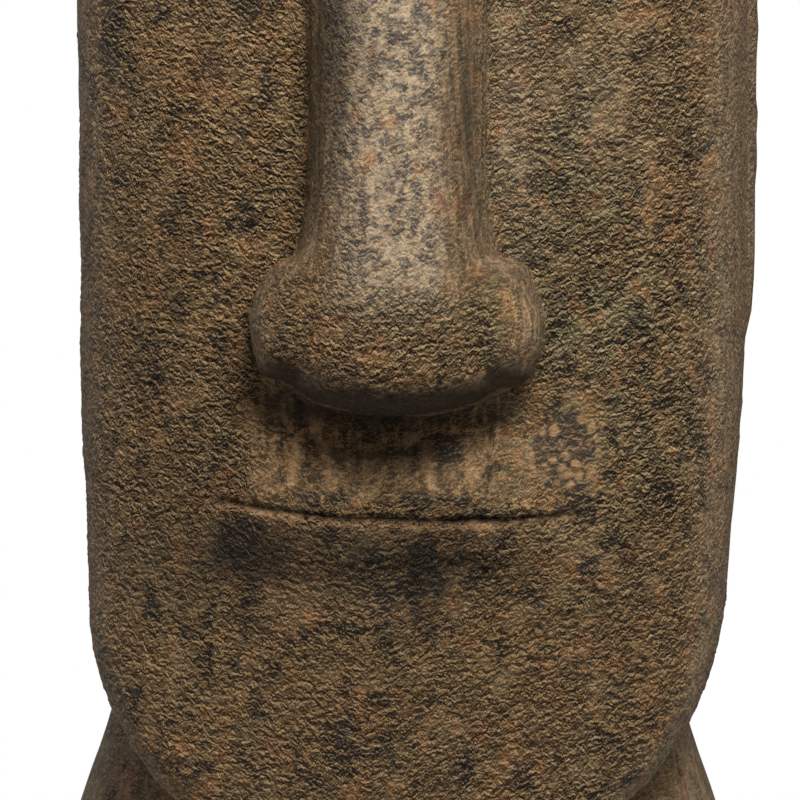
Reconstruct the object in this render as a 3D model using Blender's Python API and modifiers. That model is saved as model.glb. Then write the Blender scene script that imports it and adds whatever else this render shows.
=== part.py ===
"""A cast garden head in the moai manner: one solid bust on its own flat underside.

Metres, +Z up. The face looks towards -Y and the origin is the middle of the underside.
The head, the neck and the features are lofted forms that Booleans join into one body.
"""

import bmesh
import bpy
import numpy as np

# The whole, in metres
HEIGHT = 0.710
HEAD_WIDTH = 0.284
HEAD_DEPTH = 0.230
FACE_FORWARD = 0.116
HEAD_SHIFT = 0.0086
CROWN_ROUND = 0.034
BASE_WIDTH = 0.352
BASE_DEPTH = 0.248
BASE_ROUND = 0.005
NECK_WIDTH = 0.236
NECK_DEPTH = 0.176
NECK_BACK = 0.106

# The carving, in metres
BROW_RISE = 0.020
EYE_DEPTH = 0.014
NOSE_WIDTH = 0.075
NOSE_RISE = 0.054
NOSTRIL_SPAN = 0.1195
NOSTRIL_SIZE = 0.046
LIP_RISE = 0.010
LIP_HOLLOW = 0.009
CHIN_RISE = 0.020
MOUTH_WIDTH = 0.160
MOUTH_LINE = 0.0030
MOUTH_CURL = 0.004
EAR_DEPTH = 0.056
EAR_THICKNESS = 0.017
EAR_PROUD = 0.0040
EAR_SET = 0.002
EAR_HOLLOW = 0.005

# Levels of the carving, as shares of the height
CHIN = 0.190 * HEIGHT
JAW = 0.375 * HEIGHT
MOUTH = 0.3995 * HEIGHT
NOSE_FOOT = 0.461 * HEIGHT
EAR_FOOT = 0.496 * HEIGHT
NOSTRIL = 0.516 * HEIGHT
EYE = 0.757 * HEIGHT
BROW = 0.800 * HEIGHT
EAR_TOP = 0.800 * HEIGHT
NECK_TOP = 0.450 * HEIGHT

# How squarely the outlines turn: 2 is an ellipse, more is boxier
FACE_SQUARE = 5.0
NAPE_SQUARE = 2.5
JAW_SQUARE = 2.15
CHIN_SQUARE = 4.0
NECK_SQUARE = 2.8
NOSE_SQUARE = 2.5
BALL_SQUARE = 2.2
NOSTRIL_SQUARE = 2.5
EAR_SQUARE = 4.0

# Facets
HEAD_COLUMNS = 34
NECK_COLUMNS = 20
FRONT_CROWDING = 1.7
NOSE_SIDES = 22
NOSTRIL_SIDES = 14
EAR_SIDES = 16
OUTLINE_SAMPLES = 900


def smooth_path(knots):
    """A smooth function through (place, value) pairs, held at the end values beyond them."""
    at, value = np.array(knots, float).T
    slope = np.gradient(value, at)

    def read(place):
        place = np.clip(place, at[0], at[-1])
        i = np.clip(np.searchsorted(at, place) - 1, 0, len(at) - 2)
        span = at[i + 1] - at[i]
        t = (place - at[i]) / span
        start = (1 + 2 * t) * (1 - t) ** 2 * value[i] + t * (1 - t) ** 2 * span * slope[i]
        end = t * t * (3 - 2 * t) * value[i + 1] - t * t * (1 - t) * span * slope[i + 1]
        return start + end

    return read


# Shares along the height: how wide and deep the head and the flaring neck are at each level
HEAD_HALF = smooth_path((
    (0.375, 0.466), (0.48, 0.487), (0.59, 0.4925), (0.70, 0.4955), (0.80, 0.492), (0.90, 0.476), (1, 0.451),
))
CHIN_SLOPE = smooth_path((
    (0.19, 1.00), (0.28, 0.95), (0.36, 0.55), (0.45, 0.15), (0.56, 0.00), (1, 0.00),
))
CROWN_SLOPE = smooth_path(((0.19, 0.00), (0.70, 0.00), (0.84, 0.00), (1, 0.07)))
HEAD_BACK = smooth_path((
    (0.19, 0.374), (0.24, 0.504), (0.30, 0.70), (0.37, 0.904), (0.46, 0.983), (0.62, 1.00), (0.84, 0.974),
    (1, 0.904),
))
HEAD_WIDEST = smooth_path(((0.19, 0.48), (0.375, 0.46), (0.50, 0.60), (1, 0.60)))
SIDE_FLARE = smooth_path((
    (0, 1.00), (0.07, 0.83), (0.14, 0.60), (0.23, 0.285), (0.27, 0.11), (0.31, 0.00), (0.45, -0.10),
))
FRONT_FLARE = smooth_path(((0, 1.00), (0.07, 0.815), (0.16, 0.185), (0.26, 0.00), (0.45, -0.185)))
BACK_FLARE = smooth_path(((0, 1.00), (0.07, 0.78), (0.16, 0.33), (0.28, 0.00), (0.45, -0.67)))
NECK_WIDEST = 0.42

# Shares along the nose and the ears
NOSE_HALF = smooth_path((
    (0.461, 0.63), (0.49, 0.70), (0.52, 0.69), (0.56, 0.55), (0.60, 0.51), (0.70, 0.53), (0.80, 0.50),
))
NOSE_RIDGE = smooth_path(((0.461, 1.00), (0.53, 1.00), (0.60, 0.86), (0.70, 0.66), (0.80, 0.42)))
EAR_HALF = smooth_path(((0, 0.40), (0.16, 0.40), (0.34, 0.34), (0.75, 0.50), (1, 0.46)))
EAR_STAND = smooth_path(((0, 0.30), (0.12, 0.80), (0.30, 1.00), (1, 1.00)))


def swell(place, centre, below, above):
    """A smooth hump of height 1 at centre that dies out at its two reaches."""
    reach = np.where(place < centre, below, above)
    t = np.clip(np.abs(place - centre) / reach, 0, 1)
    return 0.5 + 0.5 * np.cos(np.pi * t)


def plateau(place, half, fade):
    """1 up to half either side of zero, fading to 0 over fade."""
    t = np.clip((np.abs(place) - half) / fade, 0, 1)
    return 0.5 + 0.5 * np.cos(np.pi * t)


def closing(t, square):
    """How much of its size an outline keeps as it closes from t = 0 to t = 1."""
    return (1 - np.clip(t, 0, 1) ** square) ** (1 / square)


def graded(*stops):
    """Levels between stops, given as start, then pairs of steps and the next stop."""
    levels = [stops[0]]
    for steps, stop in zip(stops[1::2], stops[2::2]):
        levels += list(np.linspace(levels[-1], stop, steps + 1)[1:])
    return levels


def half_ring(half_width, front, middle, back, squares, columns, crowding):
    """Points at x >= 0 from the back's middle round to the front's, closer together in front."""
    angle = np.linspace(0, np.pi, OUTLINE_SAMPLES)
    behind = angle < np.pi / 2
    square = np.where(behind, squares[1], squares[0])
    across = half_width * np.abs(np.sin(angle)) ** (2 / square)
    along = np.abs(np.cos(angle)) ** (2 / square)
    depth = middle + np.where(behind, back - middle, front - middle) * along
    across[[0, -1]] = 0
    weight = np.where(depth[1:] < middle, crowding, 1.0)
    run = np.concatenate([[0], np.cumsum(np.hypot(np.diff(across), np.diff(depth)) * weight)])
    even = np.linspace(0, run[-1], columns + 1)
    return np.interp(even, run, across), np.interp(even, run, depth)


def whole_ring(centre, halves, square, level, sides):
    """A whole ring round centre, given as x and y."""
    angle = 2 * np.pi * np.arange(sides) / sides
    c, s = np.cos(angle), np.sin(angle)
    x = centre[0] + halves[0] * np.sign(c) * np.abs(c) ** (2 / square)
    y = centre[1] + halves[1] * np.sign(s) * np.abs(s) ** (2 / square)
    return [(px, py, level) for px, py in zip(x, y)]


def loft(name, rings, open_half=False):
    """A mesh through rings of equal length, lowest first, capped at both ends."""
    shape = bmesh.new()
    loops = [[shape.verts.new(point) for point in ring] for ring in rings]
    count = len(loops[0])
    for low, high in zip(loops, loops[1:]):
        for i in range(count - 1 if open_half else count):
            j = (i + 1) % count
            shape.faces.new((low[i], high[i], high[j], low[j]))
    shape.faces.new(loops[0])
    shape.faces.new(reversed(loops[-1]))
    bmesh.ops.recalc_face_normals(shape, faces=shape.faces)
    mesh = bpy.data.meshes.new(name)
    shape.to_mesh(mesh)
    shape.free()
    return bpy.data.objects.new(name, mesh)


def mirrored(obj):
    """Both sides of a form that is modelled at x >= 0."""
    modifier = obj.modifiers.new("both_sides", "MIRROR")
    modifier.merge_threshold = 0.0001
    return obj


def face_line(level):
    """The depth of the face along its middle, without nose, brow and lips."""
    share = level / HEIGHT
    return CROWN_SLOPE(share) * HEAD_DEPTH - FACE_FORWARD - CHIN_RISE * CHIN_SLOPE(share)


def face_relief(across, level):
    """How far the carving stands out of the head's front at a place on it."""
    aside = np.abs(across)
    brow = swell(level, BROW, 0.037 * HEIGHT, 0.106 * HEIGHT)
    brow = brow * plateau(across, 0.345 * HEAD_WIDTH, 0.14 * HEAD_WIDTH)
    eye = swell(level, EYE, 0.048 * HEIGHT, 0.037 * HEIGHT)
    eye = eye * swell(aside, 0.254 * HEAD_WIDTH, 0.176 * HEAD_WIDTH, 0.218 * HEAD_WIDTH)
    lip = swell(level, MOUTH, 0.037 * HEIGHT, 0.059 * HEIGHT)
    lip = lip * plateau(across, 0.175 * MOUTH_WIDTH, 0.375 * MOUTH_WIDTH)
    under_nose = swell(level, NOSE_FOOT, 0.051 * HEIGHT, 0.042 * HEIGHT)
    under_nose = under_nose * plateau(across, 0.40 * NOSTRIL_SPAN, 0.18 * NOSTRIL_SPAN)
    under_lip = swell(level, MOUTH - 0.045 * HEIGHT, 0.048 * HEIGHT, 0.034 * HEIGHT)
    under_lip = under_lip * plateau(across, 0.19 * MOUTH_WIDTH, 0.375 * MOUTH_WIDTH)
    return BROW_RISE * brow + LIP_RISE * lip - EYE_DEPTH * eye - LIP_HOLLOW * (under_nose + 0.55 * under_lip)


def crown_inset(level):
    """How far the outline draws in where the crown's edge rounds over."""
    t = np.clip((level - HEIGHT + CROWN_ROUND) / CROWN_ROUND, 0, 1)
    return CROWN_ROUND * (1 - np.sqrt(1 - t * t))


def head_form():
    """The head block, from the chin up to the crown, with the carving of its front."""
    jaw = JAW - CHIN
    levels = graded(
        CHIN + 0.006 * jaw, 3, CHIN + 0.11 * jaw, 4, CHIN + 0.54 * jaw, 17, 0.49 * HEIGHT,
        6, 0.70 * HEIGHT, 12, 0.86 * HEIGHT, 3, HEIGHT - CROWN_ROUND, 5, HEIGHT,
    )
    rings = []
    for level in levels:
        share = level / HEIGHT
        closed = (JAW - level) / jaw
        inset = crown_inset(level)
        half = HEAD_HALF(share) * HEAD_WIDTH * closing(closed, JAW_SQUARE) - inset
        front = face_line(level) + inset
        back = HEAD_BACK(share) * HEAD_DEPTH - FACE_FORWARD - inset
        middle = front + HEAD_WIDEST(share) * (back - front)
        front = middle - (middle - front) * closing(closed, CHIN_SQUARE)
        across, depth = half_ring(
            half, front, middle, back, (FACE_SQUARE, NAPE_SQUARE), HEAD_COLUMNS, FRONT_CROWDING
        )
        frontness = np.clip((middle - depth) / (middle - front), 0, 1) ** 2
        depth = depth - face_relief(across, level) * frontness
        rings.append([(x, y, level) for x, y in zip(across, depth)])
    return mirrored(loft("moai_head", rings, open_half=True))


def neck_form():
    """The neck and the shoulders, flaring down to the flat cut."""
    flare_side = (BASE_WIDTH - NECK_WIDTH) / 2
    neck_front = NECK_BACK - NECK_DEPTH
    flare_front = BASE_DEPTH / 2 + neck_front
    flare_back = BASE_DEPTH / 2 - NECK_BACK
    rings = []
    for level in graded(0, 2, BASE_ROUND, 10, 0.30 * HEIGHT, 2, NECK_TOP):
        share = level / HEIGHT
        worn = BASE_ROUND * (1 - closing(1 - level / BASE_ROUND, 2))
        half = NECK_WIDTH / 2 + flare_side * SIDE_FLARE(share) - worn
        front = neck_front - flare_front * FRONT_FLARE(share) + worn
        back = NECK_BACK + flare_back * BACK_FLARE(share) - worn
        middle = front + NECK_WIDEST * (back - front)
        across, depth = half_ring(
            half, front, middle, back, (NECK_SQUARE, NECK_SQUARE), NECK_COLUMNS, 1.0
        )
        rings.append([(x, y, level) for x, y in zip(across, depth)])
    return mirrored(loft("neck_form", rings, open_half=True))


def nose_form():
    """The long bridge, from inside the brow down to the ball, which rounds under at its foot."""
    root = 0.55 * NOSE_RISE - FACE_FORWARD
    ball = NOSE_FOOT + 0.037 * HEIGHT
    rings = []
    for level in graded(NOSE_FOOT, 5, ball, 5, 0.60 * HEIGHT, 5, BROW + 0.014 * HEIGHT):
        share = level / HEIGHT
        keeps = closing((ball - level) / (ball - NOSE_FOOT), BALL_SQUARE)
        half = NOSE_HALF(share) * NOSE_WIDTH * (0.35 + 0.65 * keeps)
        rise = (0.55 + NOSE_RIDGE(share)) * NOSE_RISE * (0.62 + 0.38 * keeps)
        rings.append(whole_ring((0, root), (half, rise), NOSE_SQUARE, level, NOSE_SIDES))
    return loft("nose_form", rings)


def nostril_form():
    """The two wings of the nose, low beside the ball."""
    half = NOSTRIL_SIZE / 2
    deep = 0.68 * NOSE_RISE
    tall = 0.0387 * HEIGHT
    rings = []
    for rise in np.linspace(-0.985, 0.985, 11):
        keeps = closing(abs(rise), NOSTRIL_SQUARE)
        centre = (NOSTRIL_SPAN / 2 - half * (1 + 0.26 * max(rise, 0)), -FACE_FORWARD - 0.11 * NOSE_RISE)
        rings.append(whole_ring(
            centre, (half * keeps, deep * keeps), NOSTRIL_SQUARE, NOSTRIL + tall * rise, NOSTRIL_SIDES
        ))
    return mirrored(loft("nostril_form", rings))


def ear_form():
    """The long ears, low slabs just behind the edge of the face."""
    length = EAR_TOP - EAR_FOOT
    rounding = 0.35 * EAR_DEPTH
    rings = []
    for level in graded(EAR_FOOT, 3, EAR_FOOT + rounding, 7, EAR_TOP - rounding, 3, EAR_TOP):
        end = max(EAR_FOOT + rounding - level, level - EAR_TOP + rounding, 0) / rounding
        keeps = 0.25 + 0.75 * closing(end, 2)
        along = (level - EAR_FOOT) / length
        proud = EAR_PROUD * EAR_STAND(along) - 0.3 * EAR_THICKNESS * (1 - keeps)
        outer = HEAD_HALF(level / HEIGHT) * HEAD_WIDTH + proud
        half = EAR_HALF(along) * EAR_DEPTH * keeps
        rings.append(whole_ring(
            (outer - EAR_THICKNESS, EAR_SET), (EAR_THICKNESS, half), EAR_SQUARE, level, EAR_SIDES
        ))
    return mirrored(loft("ear_form", rings))


def ear_hollow_cutter():
    """The long shell of each ear, a shallow scoop in the slab."""
    length = EAR_TOP - EAR_FOOT
    middle = EAR_FOOT + 0.583 * length
    outer = HEAD_HALF(middle / HEIGHT) * HEAD_WIDTH + EAR_PROUD
    rings = []
    for rise in np.linspace(-0.98, 0.98, 9):
        keeps = closing(abs(rise), 2)
        rings.append(whole_ring(
            (outer + 0.8 * EAR_HOLLOW, EAR_SET), (1.8 * EAR_HOLLOW * keeps, 0.27 * EAR_DEPTH * keeps),
            2.0, middle + 0.30 * length * rise, 12,
        ))
    return mirrored(loft("ear_hollow_cutter", rings))


def mouth_cutter():
    """The thin line between the lips, a shallow groove that thins out at the corners."""
    angle = 2 * np.pi * np.arange(6) / 6
    rings = []
    for share in np.linspace(-1, 1, 17):
        across = share * MOUTH_WIDTH / 2
        lip = face_line(MOUTH) - face_relief(across, MOUTH)
        reach = 0.5 * MOUTH_LINE * (0.35 + 0.65 * np.sqrt(1 - share * share))
        level = MOUTH + MOUTH_CURL * share * share
        rings.append([(across, lip + 2.2 * reach * np.sin(a), level + reach * np.cos(a)) for a in angle])
    return loft("mouth_cutter", rings)


def stone_finish():
    """Brown cast stone with a dull sheen."""
    material = bpy.data.materials.new("weathered_brown_stone")
    material.use_nodes = True
    shader = material.node_tree.nodes["Principled BSDF"]
    shader.inputs["Base Color"].default_value = (0.130, 0.085, 0.048, 1)
    shader.inputs["Roughness"].default_value = 0.55
    shader.inputs["Metallic"].default_value = 0.0
    return material


def combine(solid, form, operation):
    """Joins a form to the solid or cuts it out, and hides the form itself."""
    modifier = solid.modifiers.new(form.name, "BOOLEAN")
    modifier.operation = operation
    modifier.solver = "EXACT"
    modifier.object = form
    form.hide_render = True
    form.display_type = "WIRE"


def main():
    for obj in list(bpy.data.objects):
        bpy.data.objects.remove(obj, do_unlink=True)
    statue = bpy.data.collections.new("moai_head_statue")
    forms = bpy.data.collections.new("forms")
    bpy.context.scene.collection.children.link(statue)
    bpy.context.scene.collection.children.link(forms)

    head = head_form()
    head.data.materials.append(stone_finish())
    head.location.x = HEAD_SHIFT
    statue.objects.link(head)

    neck = neck_form()
    features = (nose_form(), nostril_form(), ear_form())
    carvings = (ear_hollow_cutter(), mouth_cutter())
    for form in (*features, *carvings):
        form.location.x = HEAD_SHIFT
    for form in (neck, *features):
        forms.objects.link(form)
        combine(head, form, "UNION")
    for form in carvings:
        forms.objects.link(form)
        combine(head, form, "DIFFERENCE")


main()
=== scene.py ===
"""Looks of the cast garden moai head: coarse stucco skin, a patina with wear, soft studio light.

The skin starts as a fine remesh of the solid. Carved and cast relief is then moved into its
points, and the same relief drives where the dark base shows in its hollows, deepened there by
painted shade.
"""
import math

import bpy
import numpy as np
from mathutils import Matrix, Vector
from mathutils.bvhtree import BVHTree


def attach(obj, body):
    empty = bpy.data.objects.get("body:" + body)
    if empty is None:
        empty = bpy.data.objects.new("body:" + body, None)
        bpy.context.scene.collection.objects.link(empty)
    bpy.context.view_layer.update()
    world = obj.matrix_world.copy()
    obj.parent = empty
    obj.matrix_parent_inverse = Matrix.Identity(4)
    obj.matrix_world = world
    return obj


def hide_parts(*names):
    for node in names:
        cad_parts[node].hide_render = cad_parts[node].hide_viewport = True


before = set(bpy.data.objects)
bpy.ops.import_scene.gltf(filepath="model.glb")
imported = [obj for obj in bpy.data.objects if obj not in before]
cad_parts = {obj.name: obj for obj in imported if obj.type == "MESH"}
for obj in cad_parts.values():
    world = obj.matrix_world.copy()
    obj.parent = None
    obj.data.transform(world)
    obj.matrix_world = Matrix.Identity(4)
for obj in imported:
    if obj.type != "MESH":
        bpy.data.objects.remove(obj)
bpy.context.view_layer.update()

# The photograph's view, in metres, degrees and pixels
PHOTO_SIZE = 800
PIXEL = 0.00042
DISTANCE = 2.4
AZIMUTH = 4.2
ELEVATION = 1.0
TARGET = Vector((0.0036, -0.035, 0.3318))
SENSOR = 36

# The fine mesh, in metres and triangles
VOXEL = 0.0012
SMOOTHINGS = 36
SMOOTHING = 0.5
FACES = 192000
REST_FACES = 62000
KEEP_LEVELS = 10
FACE_DEPTH = (0.02, 0.07)
FACE_BOTTOM = (0.13, 0.16)
FACE_TOP = (0.52, 0.56)
SOLE = 0.0015
SOLE_FADE = (0.001, 0.006)

# The relief, in metres
LUMP_PITCH = 0.030
LUMP_RISE = 0.0009
KNOB_PITCH = 0.0100
KNOB_RISE = 0.00060
CALM_KNOBS = 0.3
BEND_PITCH = 0.005
BEND = 0.0016
LINE_BEND = 0.25
CRUMB_PITCH = 0.0046
CRUMB_RISE = 0.00080
CRUMB_FLATNESS = 0.75
CRUMB_EDGE = (0.0, 0.4)
CRUMB_LEAST = 0.35
CRUMB_SPREAD = 0.9
CRUMB_LEAN = 0.5
CRUMB_LEVEL = 0.5
PEBBLE_PITCH = 0.0048
PEBBLE_RISE = 0.0012
PEBBLE_EDGE = (0.12, 0.48)
PEBBLES_MISSING = 0.30
PEBBLE_LEVEL = 0.3
PEBBLE_TAN = 0.5
PULL_PITCH = 0.0036
PULL_LENGTH = 0.045
PULL_RISE = 0.00045
PULLED_PATCH = (0.035, 0.05, 0.09)
PULLED_STEP = (0.0, 0.5)
PULLED_SHARE = 0.4
SWELL_DEPTH = (0.002, 0.010)


def camera_position():
    azimuth, elevation = math.radians(AZIMUTH), math.radians(ELEVATION)
    back = Vector((
        math.sin(azimuth) * math.cos(elevation),
        -math.cos(azimuth) * math.cos(elevation),
        math.sin(elevation),
    ))
    return TARGET + back * DISTANCE


def camera_turn():
    return (TARGET - camera_position()).to_track_quat("-Z", "Y")


def make_camera():
    """The close-up of the lower face, nearly level and a little from the right."""
    data = bpy.data.cameras.new("close_up")
    data.sensor_width = SENSOR
    data.lens = SENSOR * DISTANCE / (PHOTO_SIZE * PIXEL)
    camera = bpy.data.objects.new("close_up", data)
    camera.location = camera_position()
    camera.rotation_mode = "QUATERNION"
    camera.rotation_quaternion = camera_turn()
    bpy.context.scene.collection.objects.link(camera)
    bpy.context.scene.camera = camera


def aim(column, row):
    """The direction from the camera through a pixel of the photograph."""
    middle = PHOTO_SIZE / 2
    ray = Vector(((column - middle) * PIXEL, (middle - row) * PIXEL, -DISTANCE))
    return camera_turn() @ ray.normalized()


# A seeded lattice of directions for smooth noise
LATTICE = 4096
lattice_random = np.random.default_rng(7)
SHUFFLED = lattice_random.permutation(LATTICE)
DIRECTIONS = lattice_random.normal(size=(LATTICE, 3))
DIRECTIONS /= np.linalg.norm(DIRECTIONS, axis=1)[:, None]
SEED_STEP = 31.7
NOISE_GAIN = 1.6
OCTAVES_LOSS = 1.5
CELL_SEED_STEP = 17.3
CELL_JITTER = 0.42


def drawn(cell):
    """The lattice's draw for each cell, from 0 to LATTICE - 1."""
    x, y, z = cell.T
    return SHUFFLED[(SHUFFLED[(SHUFFLED[x % LATTICE] + y) % LATTICE] + z) % LATTICE]


def noise(points, pitch, seed):
    """Smooth noise between about -1 and 1. pitch is one size, or one for each axis."""
    spots = points / pitch + SEED_STEP * seed
    cell = np.floor(spots).astype(np.int64)
    inside = spots - cell
    fade = inside ** 3 * (inside * (inside * 6 - 15) + 10)
    total = np.zeros(len(points))
    for corner in np.ndindex(2, 2, 2):
        share = np.prod(np.where(corner, fade, 1 - fade), axis=1)
        direction = DIRECTIONS[drawn(cell + corner)]
        total += share * np.einsum("ij,ij->i", direction, inside - corner)
    return NOISE_GAIN * total


def rough_noise(points, pitch, seed, octaves):
    """Noise with finer and fainter copies of itself laid over it."""
    size = np.array(pitch, float)
    total = sum(noise(points, size / 2 ** i, seed + i) / 2 ** i for i in range(octaves))
    return total / OCTAVES_LOSS


def blend_in(value, low, high):
    """0 below low, 1 above high and a smooth step between."""
    t = np.clip((value - low) / (high - low), 0, 1)
    return t * t * (3 - 2 * t)


def skin_mesh():
    """The solid as a fine even mesh with its facets smoothed away."""
    base = bpy.data.objects.new("skin_base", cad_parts["moai_head"].data.copy())
    bpy.context.scene.collection.objects.link(base)
    remesh = base.modifiers.new("fine", "REMESH")
    remesh.mode = "VOXEL"
    remesh.voxel_size = VOXEL
    smooth = base.modifiers.new("smooth", "SMOOTH")
    smooth.factor = SMOOTHING
    smooth.iterations = SMOOTHINGS
    graph = bpy.context.evaluated_depsgraph_get()
    mesh = bpy.data.meshes.new_from_object(base.evaluated_get(graph))
    bpy.data.objects.remove(base)
    return mesh


def read_points(mesh):
    points = np.empty(3 * len(mesh.vertices))
    mesh.vertices.foreach_get("co", points)
    return points.reshape(-1, 3)


def read_normals(mesh):
    normals = np.empty(3 * len(mesh.vertices))
    mesh.vertex_normals.foreach_get("vector", normals)
    return normals.reshape(-1, 3)


def store(mesh, name, values):
    attribute = mesh.attributes.new(name, "FLOAT", "POINT")
    attribute.data.foreach_set("value", values.astype(np.float32))


def surface_finder(mesh):
    """A function that gives the place on the skin seen at a pixel of the photograph."""
    tree = BVHTree.FromPolygons(
        [v.co for v in mesh.vertices], [p.vertices for p in mesh.polygons]
    )

    def find(column, row):
        return np.array(tree.ray_cast(camera_position(), aim(column, row))[0])

    return find


def stroke(points, route, width, taper=0.0):
    """How strongly each point lies on a line through the places of route, 0 to 1."""
    route = np.array(route)
    strength = np.zeros(len(points))
    low, high = route.min(axis=0) - 2 * width, route.max(axis=0) + 2 * width
    near = np.flatnonzero(np.all((points > low) & (points < high), axis=1))
    spots = points[near]
    lengths = np.linalg.norm(np.diff(route, axis=0), axis=1)
    done = 0.0
    for start, end, length in zip(route, route[1:], lengths):
        along = np.clip((spots - start) @ (end - start) / length ** 2, 0, 1)
        aside = np.linalg.norm(spots - start - along[:, None] * (end - start), axis=1)
        place = (done + along * length) / lengths.sum()
        fade = np.clip(np.minimum(place, 1 - place) / taper, 0, 1) if taper else 1.0
        strength[near] = np.maximum(strength[near], fade * np.exp(-(aside / (0.5 * width)) ** 2))
        done += length
    return strength


def crumbs(points, pitch, seed):
    """Cells about one pitch apart. For each point: how far inside its cell it lies, the cell's
    own value, and how far below the cell's middle it is, in pitches."""
    spots = points / pitch + CELL_SEED_STEP * seed
    cell = np.floor(spots).astype(np.int64)
    nearest = np.full(len(points), np.inf)
    second = nearest.copy()
    value = np.zeros(len(points))
    below = np.zeros(len(points))
    for step in np.ndindex(3, 3, 3):
        home = cell + step - 1
        pick = drawn(home)
        centre = home + 0.5 + CELL_JITTER * DIRECTIONS[pick]
        distance = np.linalg.norm(spots - centre, axis=1)
        closer = distance < nearest
        value = np.where(closer, pick / LATTICE, value)
        below = np.where(closer, centre[:, 2] - spots[:, 2], below)
        second = np.minimum(second, np.maximum(distance, nearest))
        nearest = np.minimum(nearest, distance)
    return np.clip(second - nearest, 0, 1), value, below


def seen_at(points):
    """The photograph's column and row of each point."""
    turn = np.array(camera_turn().to_matrix())
    local = (points - np.array(camera_position())) @ turn
    scale = DISTANCE / PIXEL / -local[:, 2]
    middle = PHOTO_SIZE / 2
    return middle + local[:, 0] * scale, middle - local[:, 1] * scale


BLOT_SHARPNESS = 1.5


def blot(column, row, centre, reach):
    """A soft spot round centre, 1 in its middle and gone at about one reach."""
    across = (column - centre[0]) / reach[0]
    down = (row - centre[1]) / reach[1]
    return np.exp(-BLOT_SHARPNESS * (across ** 2 + down ** 2))


def blots(column, row, patches):
    """The sum of a table's patches, which give each centre, reach and strength."""
    return sum(strength * blot(column, row, centre, reach) for centre, reach, strength in patches)


def window(value, low, high, fade):
    """1 between low and high, fading to 0 over fade on both sides."""
    return blend_in(value, low - fade, low) * (1 - blend_in(value, high, high + fade))


# Where the zones lie, by the photograph's pixels: from and to, or low, high and fade
NOSE_FOOT = (404, 416)
RIDGE_COLUMNS = (352, 424, 44)
RIDGE_FOOT = (270, 365)
SNOUT_COLUMNS = (280, 482, 30)
SNOUT_TOP = (270, 345)
SNOUT_FOOT = (420, 440)
LEFT_OF_NOSE = (335, 365)
UNDER_ROWS = (345, 425, 8)
LIP_COLUMNS = (272, 492, 34)
LIP_ROWS = (385, 488, 26)
FLAKY_COLUMNS = (498, 530, 30)
FLAKY_ROWS = (400, 486, 30)
LOWER_ROWS = (505, 560)
PEBBLES_CENTRE = (570, 448)
PEBBLES_REACH = (40, 60)
PEBBLES_STRENGTH = 1.8
RAGGED = 9.0

# Heights, and depths in front of the plane of the face, in metres
FACE_PLANE = 0.116
NOSE_DEPTH = (0.008, 0.020)
UNDER_DEPTH = (0.004, 0.014)
NECK_LINE = 0.190
NECK_FADE = 0.004
CHIN_BACK = (-0.095, -0.080)
FOOT_TOP = (0.125, 0.135)
RAGGED_PITCH = 0.011

# How far a normal points ahead or down where a zone starts and where it is whole
AHEAD = (0.0, 0.35)
FRONT = (0.35, 0.85)
DOWN = (0.42, 0.80)


def zones(points, normals):
    """Where the skin differs, each 0 to 1, laid out by the photograph's pixels on the face."""
    column, row = seen_at(points)
    ragged_column = column + RAGGED * noise(points, RAGGED_PITCH, seed=60)
    ragged_row = row + RAGGED * noise(points, RAGGED_PITCH, seed=61)
    facing = blend_in(-normals[:, 1], *AHEAD)
    out = -points[:, 1] - FACE_PLANE
    nose = blend_in(out, *NOSE_DEPTH) * (1 - blend_in(row, *NOSE_FOOT))
    flat = facing * (1 - nose)
    ridge = nose * facing * window(ragged_column, *RIDGE_COLUMNS)
    snout = nose * facing * window(ragged_column, *SNOUT_COLUMNS)
    snout *= blend_in(ragged_row, *SNOUT_TOP) * (1 - blend_in(ragged_row, *SNOUT_FOOT))
    pebbled = PEBBLES_STRENGTH * blot(ragged_column, ragged_row, PEBBLES_CENTRE, PEBBLES_REACH)
    underside = blend_in(-normals[:, 2], *DOWN)
    foot = 1 - blend_in(points[:, 2], *FOOT_TOP)
    below_jaw = 1 - blend_in(points[:, 2], NECK_LINE - NECK_FADE, NECK_LINE + NECK_FADE)
    return {
        "column": column,
        "row": row,
        "facing": facing,
        "nose": nose,
        "snout": snout,
        "ridge": ridge * (1 - blend_in(ragged_row, *RIDGE_FOOT)),
        "lip": flat * window(ragged_column, *LIP_COLUMNS) * window(ragged_row, *LIP_ROWS),
        "flaky": flat * window(ragged_column, *FLAKY_COLUMNS) * window(ragged_row, *FLAKY_ROWS),
        "pebbled": flat * np.clip(pebbled, 0, 1),
        "lower": facing * blend_in(ragged_row, *LOWER_ROWS),
        "side": 1 - blend_in(-normals[:, 1], *FRONT),
        # The nose's underside, later painted dark as painted shade
        "under": blend_in(out, *UNDER_DEPTH) * underside * window(row, *UNDER_ROWS),
        "neck": np.maximum(foot, below_jaw * blend_in(points[:, 1], *CHIN_BACK)),
        # Pale patches: wear beside the bridge, painted light on the cheek tops
        "rubbed_and_lit": np.clip(facing * blots(column, row, RUBBED_AND_LIT_PATCHES), 0, 1) * (1 - nose),
    }


# How much calmer the skin is in each zone
CALMER = {
    "lip": 0.58, "flaky": 0.30, "lower": 0.16, "side": 0.5, "neck": 0.6, "under": 0.3,
    "rubbed_and_lit": 0.35, "pebbled": 0.7,
}
NOSE_CALMER = 0.60
LEFT_ROUGHER = 0.25
SNOUT_ROUGHER = 0.95


def coarseness(zone):
    """How crumbly the skin is, from 0, rubbed smooth, to 1."""
    left = 1 - blend_in(zone["column"], *LEFT_OF_NOSE)
    calm_nose = zone["nose"] * (1 - SNOUT_ROUGHER * zone["snout"])
    coarse = 1 - (NOSE_CALMER - LEFT_ROUGHER * left) * calm_nose
    for name, share in CALMER.items():
        coarse *= 1 - share * zone[name]
    return coarse


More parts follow.
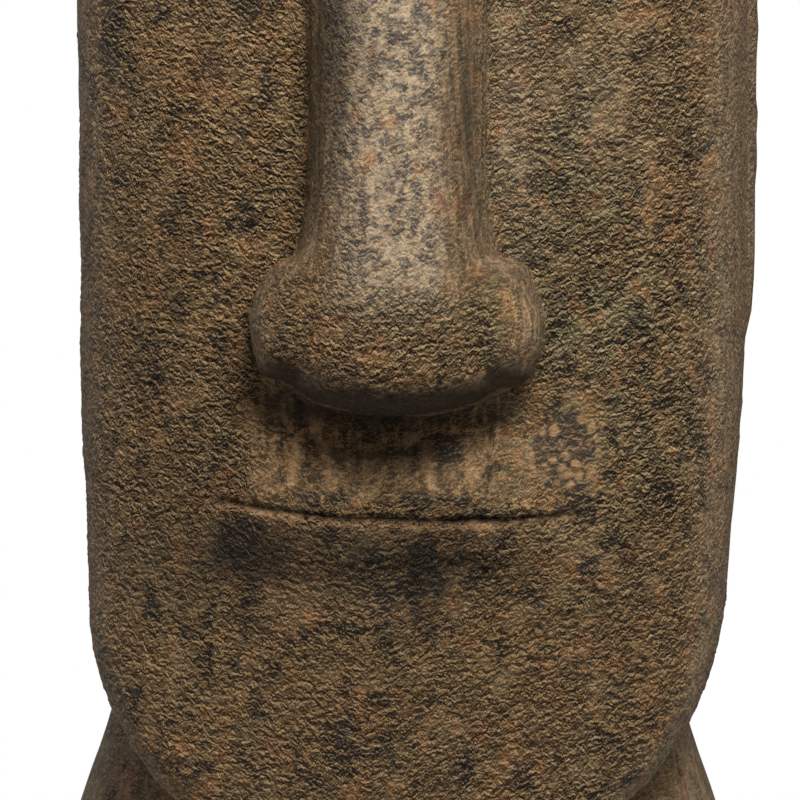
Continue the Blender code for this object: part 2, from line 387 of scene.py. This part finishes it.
def relief(points, normals, find):
    """How far the skin stands out of the smooth form at each point, and the zones it varies by."""
    zone = zones(points, normals)
    coarse = coarseness(zone)
    height = LUMP_RISE * rough_noise(points, LUMP_PITCH, seed=1, octaves=2)
    knobs = noise(points, KNOB_PITCH, seed=4)
    height += KNOB_RISE * (CALM_KNOBS + (1 - CALM_KNOBS) * coarse) * knobs
    bend = BEND * np.stack([noise(points, BEND_PITCH, seed=20 + i) for i in range(3)], axis=1)
    sizes = (CRUMB_PITCH, CRUMB_PITCH, CRUMB_FLATNESS * CRUMB_PITCH)
    inside, value, below = crumbs(points + bend, sizes, seed=8)
    crumb = CRUMB_LEAST + CRUMB_SPREAD * value + CRUMB_LEAN * below
    crumb *= blend_in(inside, *CRUMB_EDGE)
    height += CRUMB_RISE * coarse * (crumb - CRUMB_LEVEL)
    pebble, chance, _ = crumbs(points, PEBBLE_PITCH, seed=15)
    pebble = blend_in(pebble, *PEBBLE_EDGE) * (chance > PEBBLES_MISSING)
    height += PEBBLE_RISE * zone["pebbled"] * (pebble - PEBBLE_LEVEL)
    pulls = noise(points, (PULL_PITCH, PULL_PITCH, PULL_LENGTH), seed=11)
    pulled = PULLED_SHARE * blend_in(noise(points, PULLED_PATCH, seed=12), *PULLED_STEP)
    height += PULL_RISE * pulls * (pulled + zone["lip"])
    on_nose = blend_in(-points[:, 1] - FACE_PLANE, *SWELL_DEPTH)
    for centre, reach, rise in SWELLS:
        height += rise * on_nose * blot(zone["column"], zone["row"], centre, reach)
    crack = np.zeros(len(points))
    edge = PEBBLE_TAN * zone["pebbled"] * pebble
    wavering = points + LINE_BEND * bend
    for route, width, rise, tan in marks(find):
        strength = stroke(wavering, route, width, TAPER)
        height += rise * strength
        # A cut is painted dark as shade, more the deeper it is
        crack = np.maximum(crack, strength * min(1, max(0, -rise) / DEEP))
        # Tan of the streaks, and the painted highlight along the lower lip's edge
        edge = np.maximum(edge, strength * tan)
    zone["crumb"] = crumb * (1 - zone["pebbled"]) + pebble * zone["pebbled"]
    zone["coarse"] = coarse
    zone["crack"] = crack
    zone["edge"] = edge
    return height, zone


# Fuller corners of the two wings of the nose, by the photograph's pixels, with reach and rise
SWELLS = (
    ((524, 382), (26, 17), 0.0046),
    ((538, 350), (16, 34), 0.0012),
    ((524, 270), (16, 14), 0.0030),
    ((264, 374), (18, 14), 0.0022),
)

# The share of a line over which each end fades, and the depth of cut whose painted shade is fully
# dark, in metres
TAPER = 0.05
DEEP = 0.0030

# Scratches, ridges and pits that stand out, by the photograph's pixels, with width and rise
# in metres. A rise below zero is cut in and painted dark, as painted shade that deepens with the
# cut.
MARKS = (
    (((169, 58), (171, 100), (170, 152)), 0.0015, -0.0009),
    (((577, 0), (577, 70)), 0.0016, -0.0010),
    (((630, 98), (631, 180)), 0.0015, -0.0009),
    (((572, 218), (571, 262)), 0.0018, 0.0014),
    (((655, 335), (650, 378)), 0.0016, -0.0010),
    (((254, 412), (257, 440), (253, 490)), 0.0060, 0.0014),
    (((491, 425), (490, 450), (490, 486)), 0.0018, -0.0016),
    (((498, 420), (497, 450), (496, 486)), 0.0050, 0.0008),
    (((485, 568), (484, 579)), 0.0018, -0.0018),
    (((536, 591), (536, 593)), 0.0018, -0.0016),
    (((677, 751), (683, 777)), 0.0030, -0.0035),
    (((509, 415), (510, 416)), 0.0018, -0.0018),
    (((515, 421), (516, 422)), 0.0018, -0.0018),
    (((393, 12), (393, 13)), 0.0018, -0.0014),
    (((399, 63), (399, 64)), 0.0018, -0.0014),
    (((672, 681), (672, 683)), 0.0020, -0.0014),
)

# Upright tan streaks on the lip and under the wings: column, top and bottom row, lean, tan
STREAKS = (
    (252, 400, 495, 2, 0.30), (274, 430, 496, -3, 0.20), (296, 436, 488, -5, 0.75),
    (326, 440, 494, 6, 0.60), (346, 450, 486, 2, 0.15), (366, 444, 482, 3, 0.25),
    (384, 452, 486, -2, 0.15), (400, 446, 478, 3, 0.20), (424, 440, 500, 10, 0.50),
    (452, 458, 496, 0, 0.15), (468, 436, 492, 4, 0.50), (480, 440, 470, 1, 0.20),
    (598, 110, 200, 10, 0.35), (628, 40, 120, -6, 0.20), (205, 60, 100, 3, 0.30),
    (172, 640, 700, -3, 0.25),
)
STREAK_WIDTH = 0.0042
STREAK_RISE = 0.0006
STREAK_BEND = 0.4

# The line between the lips, cut in and painted dark as shade, with the ridge below it painted tan
# as a highlight
LIPS = (
    (203, 496), (218, 499), (238, 502), (262, 507), (300, 513), (340, 517), (400, 518),
    (440, 520), (505, 519), (545, 516), (585, 511),
)
LIP_WIDTH = 0.0021
LIP_CUT = -0.0030
LIP_EDGE_WIDTH = 0.0032
LIP_EDGE = 0.0012
LIP_EDGE_DROP = 7
STEP_PIXELS = 8


def laid(route, find):
    """The places on the skin along a route of pixels, close enough together to follow it."""
    places = [find(*route[0])]
    for start, end in zip(route, route[1:]):
        steps = max(1, round(math.dist(start, end) / STEP_PIXELS))
        for share in np.linspace(0, 1, steps + 1)[1:]:
            places.append(find(*(np.array(start) + share * np.subtract(end, start))))
    return places


def marks(find):
    """Each line of the relief: its places on the skin, width, rise and how tan it is."""
    for route, width, rise in MARKS:
        yield laid(route, find), width, rise, 0
    for column, top, bottom, lean, tan in STREAKS:
        middle = (column + STREAK_BEND * lean, 0.5 * (top + bottom))
        route = ((column, top), middle, (column + lean, bottom))
        yield laid(route, find), STREAK_WIDTH, STREAK_RISE, tan
    below = [(column, row + LIP_EDGE_DROP) for column, row in LIPS]
    yield laid(LIPS, find), LIP_WIDTH, LIP_CUT, 0
    # The lip's lower edge, raised and painted tan as a highlight
    yield laid(below, find), LIP_EDGE_WIDTH, LIP_EDGE, 1


def make_skin():
    """The one visible piece."""
    mesh = skin_mesh()
    mesh.name = "moai_skin"
    find = surface_finder(mesh)
    points, normals = read_points(mesh), read_normals(mesh)
    height, zone = relief(points, normals, find)
    above_sole = blend_in(points[:, 2], *SOLE_FADE)
    moved = points + normals * (height * above_sole)[:, None]
    moved[:, 2] = np.where(points[:, 2] < SOLE, 0, np.maximum(moved[:, 2], 0))
    mesh.vertices.foreach_set("co", moved.ravel())
    for name, values in patina(points, zone).items():
        store(mesh, name, values)
    mesh.update()
    skin = bpy.data.objects.new("moai_skin", mesh)
    bpy.context.scene.collection.objects.link(skin)
    thin(skin, moved)
    skin.data.shade_smooth()
    return skin


# Soft patches of the photograph where the slate shows, with centre, reach and strength
SLATE_PATCHES = (
    ((566, 442), (30, 50), 1.2), ((445, 450), (40, 26), 1.1), ((244, 535), (28, 32), 1.1),
    ((425, 580), (24, 70), 1.0), ((345, 748), (32, 46), 1.0), ((125, 590), (16, 24), 0.8),
    ((550, 185), (30, 24), 0.8), ((112, 40), (20, 56), 0.8), ((160, 385), (18, 30), 0.8),
    ((398, 222), (16, 26), 0.6), ((390, 30), (18, 40), 0.5), ((330, 500), (50, 16), 0.7),
    ((480, 300), (20, 40), 0.6), ((300, 300), (20, 24), 0.5), ((205, 660), (20, 30), 0.7),
    ((440, 500), (60, 14), 0.6), ((395, 700), (14, 50), 0.5), ((640, 190), (24, 40), 0.5),
)

# Dark washes with painted shade laid over them: the painted shadow under the nose and the painted
# shade under the lower lip, and thinner elsewhere
WASHES_AND_SHADE = (
    ((392, 412), (150, 20), 1.0), ((290, 400), (60, 20), 0.5), ((370, 556), (200, 60), 0.60),
    ((245, 545), (44, 36), 0.5), ((425, 590), (40, 60), 0.35), ((190, 560), (110, 130), 0.35),
    ((390, 700), (340, 150), 0.29), ((150, 330), (80, 200), 0.30), ((380, 474), (150, 30), 0.58),
    ((640, 600), (90, 160), 0.20),
)

# Dark washes with painted shade on the nose: down both sides of the ridge and over the wings
NOSE_WASHES_AND_SHADE = (
    ((332, 40), (34, 170), 0.75), ((468, 110), (30, 190), 0.60), ((290, 280), (40, 30), 0.35),
    ((512, 275), (34, 24), 0.35), ((400, 300), (120, 40), 0.08),
)

# Pale patches, partly wear and partly painted light where the key falls: beside the bridge and on
# the tops of the cheeks
RUBBED_AND_LIT_PATCHES = (
    ((512, 120), (34, 200), 1.0), ((532, 455), (26, 50), 0.3), ((512, 262), (20, 16), 0.4),
    ((600, 90), (90, 140), 0.70), ((220, 40), (80, 90), 0.35),
)

# Where rust shows
RUST_PATCHES = (
    ((205, 80), (30, 50), 0.8), ((290, 470), (26, 26), 0.8), ((555, 505), (30, 14), 0.8),
    ((655, 215), (34, 60), 0.6), ((150, 50), (24, 40), 0.6), ((425, 380), (60, 14), 0.6),
    ((330, 340), (30, 30), 0.5), ((235, 500), (24, 8), 0.8), ((700, 60), (20, 60), 0.5),
)

# The torn edges of the patches: their pitch in metres, and the least factor and its spread
SLATE_PITCH = 0.008
SLATE_RAGGED = (0.2, 1.6)
SLATE_STEP = (0.34, 0.56)
STAIN_PITCH = 0.010
RUST_RAGGED = (0.4, 1.2)
WASH_AND_SHADE_RAGGED = (0.6, 0.8)
OLIVE_CENTRE = (600, 250)
OLIVE_REACH = (170, 300)

# How pale each zone is with wear and painted light, and how streaky
RUBBED_AND_LIT_SHARE = 0.45
SIDE_WORN = 0.35
NOSE_STREAKY = 0.7
RIDGE_LESS = 0.6
SIDE_STREAKY = 0.35
NECK_STREAKY = 0.4


def ragged(points, pitch, seed, share):
    """Uneven factors, a least one and a spread, that tear the edges of soft patches."""
    least, spread = share
    return least + spread * (0.5 + 0.5 * rough_noise(points, pitch, seed, octaves=3))


def patina(points, zone):
    """The amounts of slate, rust, wear with painted sheen and light, dark washes with painted
    shade, and the rest that the finish reads at each point.
    """
    column, row, facing, nose = zone["column"], zone["row"], zone["facing"], zone["nose"]
    slate = blots(column, row, SLATE_PATCHES) * ragged(points, SLATE_PITCH, 40, SLATE_RAGGED)
    slate = blend_in(slate, *SLATE_STEP) * facing * (1 - zone["pebbled"])
    slate += zone["pebbled"] * (1 - zone["crumb"])
    rust = facing * blots(column, row, RUST_PATCHES) * ragged(points, STAIN_PITCH, 50, RUST_RAGGED)
    # Dark washes with painted shade: a painted shadow under the nose, painted shade under the
    # lower lip, on the lower face and down the sides of the nose
    wash_and_shade = (1 - nose) * blots(column, row, WASHES_AND_SHADE) + nose * blots(column, row, NOSE_WASHES_AND_SHADE)
    wash_and_shade = facing * wash_and_shade * ragged(points, STAIN_PITCH, 50, WASH_AND_SHADE_RAGGED)
    # Paler with wear on the sides, and with wear and painted light on the pale patches
    wear_and_sheen = np.maximum(RUBBED_AND_LIT_SHARE * zone["rubbed_and_lit"], SIDE_WORN * zone["side"])
    streaky = NOSE_STREAKY * nose * (1 - zone["snout"]) * (1 - RIDGE_LESS * zone["ridge"])
    streaky = np.maximum(zone["lip"], streaky)
    streaky = np.maximum(streaky, SIDE_STREAKY * zone["side"])
    baked = {name: zone[name] for name in ("crumb", "coarse", "crack", "edge", "nose")}
    return baked | {
        "slate": np.clip(slate, 0, 1),
        "rust": np.clip(rust, 0, 1),
        # The nose's underside is painted dark as painted shade as well
        "wash_and_shade": np.clip(np.maximum(wash_and_shade, zone["under"]), 0, 1),
        # The ridge is pale with wear and a painted sheen
        "wear_and_sheen": np.maximum(zone["ridge"], wear_and_sheen),
        "streaky": np.maximum(streaky, NECK_STREAKY * zone["neck"]),
        "olive": facing * blot(column, row, OLIVE_CENTRE, OLIVE_REACH),
    }


def count_triangles(mesh):
    return sum(len(p.vertices) - 2 for p in mesh.polygons)


def thin(skin, points):
    """Fewer triangles, most of them kept on the lower face."""
    group = skin.vertex_groups.new(name="keep")
    seen = blend_in(-points[:, 1], *FACE_DEPTH)
    seen *= blend_in(points[:, 2], *FACE_BOTTOM)
    seen *= 1 - blend_in(points[:, 2], *FACE_TOP)
    for level in range(1, KEEP_LEVELS + 1):
        chosen = np.flatnonzero(np.round(KEEP_LEVELS * seen) == level)
        group.add(chosen.tolist(), level / KEEP_LEVELS, "REPLACE")
    triangles = count_triangles(skin.data)
    kept = triangles * np.mean(seen > 0.5)
    rest = skin.modifiers.new("thin_rest", "DECIMATE")
    rest.vertex_group = "keep"
    rest.invert_vertex_group = True
    rest.vertex_group_factor = 1.0
    rest.ratio = (kept + REST_FACES) / triangles
    whole = skin.modifiers.new("thin_whole", "DECIMATE")
    whole.ratio = min(1, FACES / (kept + REST_FACES))
    graph = bpy.context.evaluated_depsgraph_get()
    mesh = bpy.data.meshes.new_from_object(skin.evaluated_get(graph))
    skin.modifiers.clear()
    skin.vertex_groups.clear()
    old = skin.data
    skin.data = mesh
    bpy.data.meshes.remove(old)
    mesh.name = "moai_skin"


class Nodes:
    """Short calls for building a material's node tree."""

    def __init__(self, material):
        material.use_nodes = True
        self.tree = material.node_tree
        self.shader = self.tree.nodes["Principled BSDF"]

    def feed(self, socket, value):
        if isinstance(value, bpy.types.NodeSocket):
            self.tree.links.new(value, socket)
        else:
            socket.default_value = value

    def add(self, kind, inputs=(), **settings):
        made = self.tree.nodes.new("ShaderNode" + kind)
        for name, value in settings.items():
            setattr(made, name, value)
        for name, value in dict(inputs).items():
            self.feed(made.inputs[name], value)
        return made

    def math(self, operation, a, b, clamp=False):
        made = self.add("Math", {0: a, 1: b}, operation=operation, use_clamp=clamp)
        return made.outputs[0]

    def times(self, a, b):
        return self.math("MULTIPLY", a, b)

    def plus(self, a, b, clamp=False):
        return self.math("ADD", a, b, clamp)

    def minus(self, a, b, clamp=False):
        return self.math("SUBTRACT", a, b, clamp)

    def larger(self, a, b):
        return self.math("MAXIMUM", a, b)

    def attribute(self, name, share=None):
        """An amount baked on the mesh, or a share of it."""
        amount = self.add("Attribute", attribute_name=name).outputs["Fac"]
        return amount if share is None else self.times(amount, share)

    def noise(self, place, scale, detail, roughness, upright):
        """Noise, whose lumps are taller than wide where upright is under 1."""
        stretched = self.add(
            "VectorMath", {0: place, 1: (1.0, 1.0, upright)}, operation="MULTIPLY"
        ).outputs[0]
        settings = {"Scale": scale, "Detail": detail, "Roughness": roughness}
        return self.add("TexNoise", {"Vector": stretched} | settings).outputs["Fac"]

    def step(self, value, low, high, start=0.0, end=1.0):
        """A smooth step from start at low to end at high."""
        made = self.add(
            "MapRange",
            {"Value": value, "From Min": low, "From Max": high, "To Min": start, "To Max": end},
            interpolation_type="SMOOTHSTEP",
        )
        return made.outputs["Result"]

    def mix(self, amount, a, b):
        made = self.add("Mix", data_type="RGBA")
        for socket, value in zip((made.inputs[0], made.inputs[6], made.inputs[7]), (amount, a, b)):
            self.feed(socket, value)
        return made.outputs[2]

    def connect(self, value, name):
        self.tree.links.new(value, self.shader.inputs[name])


# Colours of the finish
SLATE = (0.0080, 0.0095, 0.0105, 1)
# The painted shade below each crumb and in the cut lines
PIT = (0.0040, 0.0030, 0.0022, 1)
UMBER = (0.040, 0.025, 0.0120, 1)
# Dark washes, and the painted shadow under the nose and painted shade under the lip
WASH_AND_SHADE = (0.0145, 0.0105, 0.0068, 1)
OCHRE = (0.150, 0.086, 0.034, 1)
OLIVE = (0.128, 0.105, 0.053, 1)
# Tan and pale olive also paint the highlight on the crumbs' tops
TAN = (0.46, 0.300, 0.145, 1)
PALE_OLIVE = (0.410, 0.315, 0.165, 1)
RUST = (0.280, 0.116, 0.042, 1)
# Pale of the ridge: wear, and partly a painted sheen
WORN_AND_SHEEN = (0.255, 0.195, 0.128, 1)
FLECK = (0.062, 0.056, 0.052, 1)
# Tan for streaks and pebbles, and the painted highlight along the lower lip's edge
EDGE = (0.30, 0.175, 0.085, 1)

# Noises of the finish: lumps a metre, detail, roughness and how upright
CALM_NOISE = (85.0, 3.0, 0.5, 1.0)
PATCH_NOISE = (45.0, 3.0, 0.6, 0.6)
BROAD_NOISE = (30.0, 3.0, 0.6, 1.0)
SPOT_NOISE = (95.0, 3.0, 0.65, 0.7)
FLECK_NOISE = (230.0, 4.0, 0.68, 0.85)
STREAK_NOISE = (330.0, 4.0, 0.68, 0.12)
STAIN_NOISE = (85.0, 4.0, 0.6, 0.8)

# The fine crumbs, in lumps a metre, metres and shares
CRUMB_NOISE = (340.0, 4.0, 0.68, 1.0)
CRUMB_GAIN = 1.7
WARP_SCALE = 290.0
WARP_DETAIL = 2.0
WARP_ROUGHNESS = 0.6
WARP_REACH = 0.0054
TALL = 1.4
RISING = 0.35
# How far above each point the crumb height is read again: painted shade where it is higher there,
# a painted highlight where it is lower, as if lit from above
UNDER_LIP = 0.00062
CALM_STEP = (0.50, 0.64)
CALM_LEAST = 0.62
SHADED_STEP = (0.010, 0.082)
LIT_STEP = (0.025, 0.16)
BUMP = 0.0080
BUMP_COARSE = 0.80
BUMP_LEAST = 0.20
BUMP_STREAKS = 0.25
GLOSS_STEP = (0.65, 1.1)
ROUGHNESS = (0.75, 0.48)
SPECULAR = 0.12


def fine_height(n, where):
    """The height of the fine crumbs, which run in rows that rise outwards."""
    settings = {"Scale": WARP_SCALE, "Detail": WARP_DETAIL, "Roughness": WARP_ROUGHNESS}
    warp = n.add("TexNoise", {"Vector": where} | settings)
    bent = n.add(
        "VectorMath", {0: warp.outputs["Color"], 1: (WARP_REACH,) * 3, 2: where},
        operation="MULTIPLY_ADD",
    ).outputs[0]
    split = n.add("SeparateXYZ", {0: bent}).outputs
    outwards = n.times(n.math("ABSOLUTE", split[0], 0.0), RISING)
    level = n.times(n.minus(split[2], outwards), TALL)
    wide = n.add("CombineXYZ", {0: split[0], 1: split[1], 2: level}).outputs[0]
    return n.times(n.noise(wide, *CRUMB_NOISE), CRUMB_GAIN)


# Layers of the finish: where a noise or a height starts and completes each one, and its share
GREEN_STEP = (0.42, 0.60)
GREEN_LEAST = 0.4
GREEN_BY_OLIVE = 0.6
BROAD_STEP = (0.62, 0.36)
BROAD_SHARE = 0.30
RUST_STEP = (0.52, 0.64)
RUST_SHARE = 0.58
SMOOTH_SHARE = 0.52
FLECK_STEP = (0.44, 0.58)
RIDGE_RUST_STEP = (0.56, 0.66)
RIDGE_RUST_SHARE = 0.4
WEAR_AND_SHEEN_SHARE = 0.9
PALE_STEP = (0.52, 0.62)
PALE_SHARE = 0.36
DIM_STEP = (0.52, 0.42)
DIM_SHARE = 0.85
OLIVE_TOPS_SHARE = 0.9
TOPS_SHARE = 0.9
STAIN_STEP = (0.545, 0.63)
STAIN_BY_SLATE = 0.16
UNLIT_STEP = (0.9, 0.1)
UNLIT_LEAST = 0.35
SLATE_SHARE = 0.85
SLATE_LESS_ON_NOSE = 0.3
SLATE_LEAST = 0.3
BETWEEN_STEP = (0.40, 0.05)
BETWEEN_SHARE = 0.40
LOW_STEP = (0.76, 0.58)
LOW_SHARE = 0.8
WASH_AND_SHADE_SHARE = 0.88
EDGE_SHARE = 0.80
CRACK_SHARE = 0.95
DARK_SHARE = 0.97


def body_colour(n, place, spots, rough):
    """Ochre and olive, with umber where the skin is calm, and rust spots."""
    green = n.plus(n.attribute("olive", GREEN_BY_OLIVE), GREEN_LEAST)
    green = n.times(n.step(n.noise(place, *PATCH_NOISE), *GREEN_STEP), green)
    colour = n.mix(green, OCHRE, OLIVE)
    broad = n.step(n.noise(place, *BROAD_NOISE), *BROAD_STEP, 0.0, BROAD_SHARE)
    colour = n.mix(broad, colour, UMBER)
    rusty = n.plus(n.step(spots, *RUST_STEP), n.attribute("rust"), clamp=True)
    colour = n.mix(n.times(rusty, RUST_SHARE), colour, RUST)
    smoother = n.minus(1.0, rough, clamp=True)
    return n.mix(n.times(smoother, SMOOTH_SHARE), colour, UMBER)


def add_ridge(n, colour, place, spots):
    """The ridge of the nose, pale with wear and a painted sheen, with slate flecks."""
    flecks = n.noise(place, *FLECK_NOISE)
    rubbed_and_lit = n.mix(n.step(flecks, *FLECK_STEP), WORN_AND_SHEEN, FLECK)
    rubbed_and_lit = n.mix(n.times(n.step(spots, *RIDGE_RUST_STEP), RIDGE_RUST_SHARE), rubbed_and_lit, RUST)
    return n.mix(n.attribute("wear_and_sheen", WEAR_AND_SHEEN_SHARE), colour, rubbed_and_lit)


def add_streaks(n, colour, streaks):
    """Upright streaks on the lip and on the sides of the nose."""
    pale = n.times(n.step(streaks, *PALE_STEP), n.attribute("streaky", PALE_SHARE))
    dim = n.times(n.step(streaks, *DIM_STEP), n.attribute("streaky", DIM_SHARE))
    return n.mix(dim, n.mix(pale, colour, TAN), UMBER)


def add_tops_and_stains(n, colour, place, lit, rough):
    """Painted highlights on the upper edges of the crumbs, and slate stains between them."""
    tops = n.mix(n.attribute("olive", OLIVE_TOPS_SHARE), TAN, PALE_OLIVE)
    # Painted highlight on the top edges of the crumbs
    colour = n.mix(n.times(lit, n.times(rough, TOPS_SHARE)), colour, tops)
    stains = n.plus(n.noise(place, *STAIN_NOISE), n.attribute("slate", STAIN_BY_SLATE))
    unlit = n.step(lit, *UNLIT_STEP, UNLIT_LEAST, 1.0)
    slaty = n.times(n.step(stains, *STAIN_STEP), unlit)
    share = n.minus(SLATE_SHARE, n.attribute("nose", SLATE_LESS_ON_NOSE))
    share = n.larger(n.minus(share, n.attribute("wear_and_sheen")), SLATE_LEAST)
    return n.mix(n.times(slaty, share), colour, SLATE)


def add_darks(n, colour, fine, shaded, rough):
    """Dark base in the crevices deepened by painted shade, dark washes with painted shade, tan on
    streaks and pebbles with a painted highlight along the lower lip, and painted shade below each
    crumb and in the cut lines.
    """
    # The dark base in the crevices, deepened by painted shade
    between = n.times(n.step(n.attribute("crumb"), *BETWEEN_STEP), BETWEEN_SHARE)
    crevice = n.larger(n.times(n.step(fine, *LOW_STEP), LOW_SHARE), between)
    colour = n.mix(n.times(crevice, rough), colour, UMBER)
    # Dark washes, with the painted shadow under the nose and painted shade under the lip
    colour = n.mix(n.attribute("wash_and_shade", WASH_AND_SHADE_SHARE), colour, WASH_AND_SHADE)
    # Tan on streaks and pebbles, and a painted highlight along the lower lip's edge
    colour = n.mix(n.attribute("edge", EDGE_SHARE), colour, EDGE)
    # Painted shade below each crumb and in the cut lines
    dark = n.larger(n.times(shaded, rough), n.attribute("crack", CRACK_SHARE))
    return n.mix(n.times(dark, DARK_SHARE), colour, PIT)


def stone_material():
    """Ochre and olive brushed over a dark base that shows in the crevices, with painted shade
    there and below each crumb, and painted highlights on the upper edges.
    """
    material = bpy.data.materials.new("weathered_stone")
    n = Nodes(material)
    place = n.add("TexCoord").outputs["Object"]
    raised = n.add("VectorMath", {0: place, 1: (0.0, 0.0, UNDER_LIP)}, operation="ADD")
    fine = fine_height(n, place)
    above = fine_height(n, raised.outputs[0])
    # Painted shade below each crumb and a painted highlight on its top edge, as if lit from above
    shaded = n.step(n.minus(above, fine), *SHADED_STEP)
    lit = n.step(n.minus(fine, above), *LIT_STEP)
    calm = n.step(n.noise(place, *CALM_NOISE), *CALM_STEP, 1.0, CALM_LEAST)
    rough = n.times(n.attribute("coarse"), calm)
    spots = n.noise(place, *SPOT_NOISE)
    streaks = n.noise(place, *STREAK_NOISE)

    colour = body_colour(n, place, spots, rough)
    colour = add_ridge(n, colour, place, spots)
    colour = add_streaks(n, colour, streaks)
    colour = add_tops_and_stains(n, colour, place, lit, rough)
    colour = add_darks(n, colour, fine, shaded, rough)
    n.connect(colour, "Base Color")

    n.connect(n.step(fine, *GLOSS_STEP, *ROUGHNESS), "Roughness")
    n.shader.inputs["Specular IOR Level"].default_value = SPECULAR
    height = n.plus(fine, n.times(streaks, n.attribute("streaky", BUMP_STREAKS)))
    strength = n.plus(n.times(rough, BUMP_COARSE), BUMP_LEAST)
    bump = n.add("Bump", {"Height": height, "Strength": strength, "Distance": BUMP})
    n.connect(bump.outputs["Normal"], "Normal")
    return material


# The studio: the floor, the white surround, and each light's name, place, size and power
FLOOR_RADIUS = 0.9
FLOOR_CORNERS = 96
FLOOR_COLOUR = (0.50, 0.50, 0.50, 1)
FLOOR_ROUGHNESS = 0.8
WHITE = (1, 1, 1, 1)
SURROUND_SEEN = 1.0
SURROUND_LIGHT = 0.10
LIT_HEIGHT = 0.36
LIGHTS = (
    ("key", (0.42, -1.46, 1.52), 0.42, (0.8, 0.7), 79),
    ("front", (0.45, -2.7, 0.95), 0.38, (0.9, 0.9), 11),
    ("left_rim", (-1.3, 0.55, 0.7), LIT_HEIGHT, (0.8, 1.2), 8),
    ("right_rim", (1.3, 0.55, 0.7), LIT_HEIGHT, (0.8, 1.2), 4),
    ("back", (-0.6, 2.3, 1.3), LIT_HEIGHT, (1.0, 1.0), 26),
)


def make_floor():
    bpy.ops.mesh.primitive_circle_add(
        vertices=FLOOR_CORNERS, radius=FLOOR_RADIUS, fill_type="NGON"
    )
    floor = bpy.context.object
    floor.name = "studio_floor"
    material = bpy.data.materials.new("pale_floor")
    shader = Nodes(material).shader
    shader.inputs["Base Color"].default_value = FLOOR_COLOUR
    shader.inputs["Roughness"].default_value = FLOOR_ROUGHNESS
    floor.data.materials.append(material)


def make_light(name, place, height, size, power):
    """A soft light that points at the middle of the statue at a height."""
    data = bpy.data.lights.new(name, "AREA")
    data.shape = "RECTANGLE"
    data.size, data.size_y = size
    data.energy = power
    lamp = bpy.data.objects.new(name, data)
    lamp.location = place
    lamp.rotation_mode = "QUATERNION"
    towards = Vector((0, 0, height)) - Vector(place)
    lamp.rotation_quaternion = towards.to_track_quat("-Z", "Y")
    bpy.context.scene.collection.objects.link(lamp)


def add_surround(tree, strength):
    surround = tree.nodes.new("ShaderNodeBackground")
    surround.inputs["Strength"].default_value = strength
    surround.inputs["Color"].default_value = WHITE
    return surround.outputs[0]


def make_world():
    """A white surround that is plain white to the camera and dimmer as a light."""
    world = bpy.data.worlds.new("studio")
    bpy.context.scene.world = world
    world.use_nodes = True
    tree = world.node_tree
    tree.nodes.clear()
    path = tree.nodes.new("ShaderNodeLightPath")
    mix = tree.nodes.new("ShaderNodeMixShader")
    output = tree.nodes.new("ShaderNodeOutputWorld")
    tree.links.new(path.outputs["Is Camera Ray"], mix.inputs["Fac"])
    tree.links.new(add_surround(tree, SURROUND_LIGHT), mix.inputs[1])
    tree.links.new(add_surround(tree, SURROUND_SEEN), mix.inputs[2])
    tree.links.new(mix.outputs[0], output.inputs["Surface"])


bpy.context.scene.view_settings.view_transform = "Standard"
make_camera()
skin = make_skin()
skin.data.materials.clear()
skin.data.materials.append(stone_material())
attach(skin, "root")
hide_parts("moai_head")
make_floor()
make_world()
for light in LIGHTS:
    make_light(*light)
